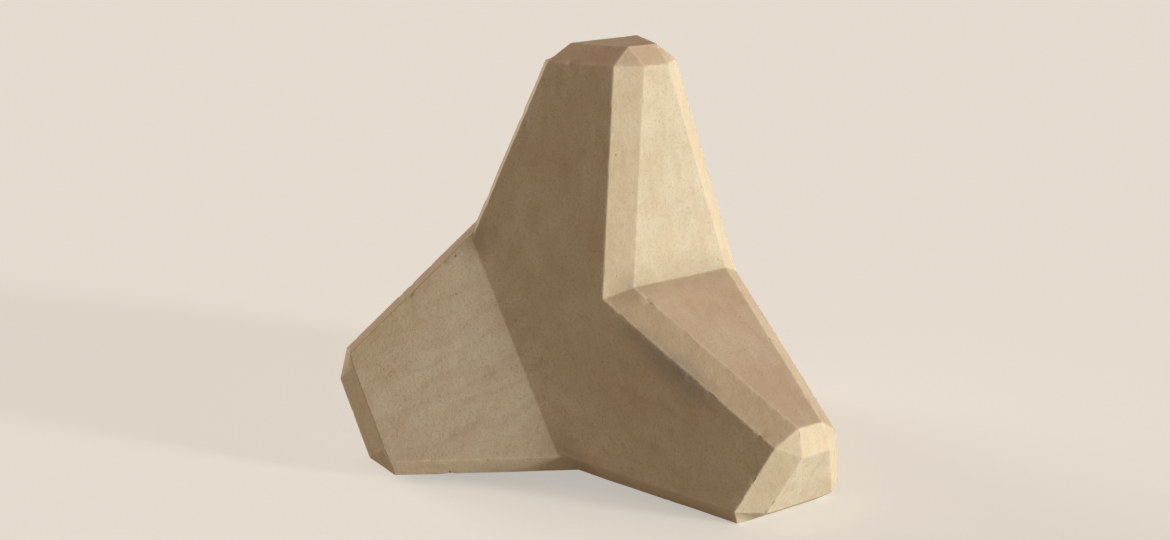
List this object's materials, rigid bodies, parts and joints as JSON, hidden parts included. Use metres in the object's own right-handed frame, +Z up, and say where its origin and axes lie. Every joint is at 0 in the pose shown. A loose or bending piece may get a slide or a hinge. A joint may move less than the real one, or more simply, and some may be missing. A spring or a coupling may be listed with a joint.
{
  "type": "flat-faced concrete armour unit, tetrapod type",
  "caption": "Massive cast concrete breakwater armour unit with flat-faced tapered legs that spread to the corners of a tetrahedron, V notches between them and chamfered edges.",
  "frame": {"origin": "middle of the unit's footprint, on the level floor that its feet stand on", "axes": "+Z up; one leg points up, one foot is towards -X and the other two feet spread to +Y and -Y on the +X side"},
  "size_m": [3.3172, 3.6722, 3.1141],
  "materials": {
    "concrete": "plain cast concrete, matte"
  },
  "bodies": {
    "root": {"armour_unit": "concrete"}
  },
  "joints": []
}
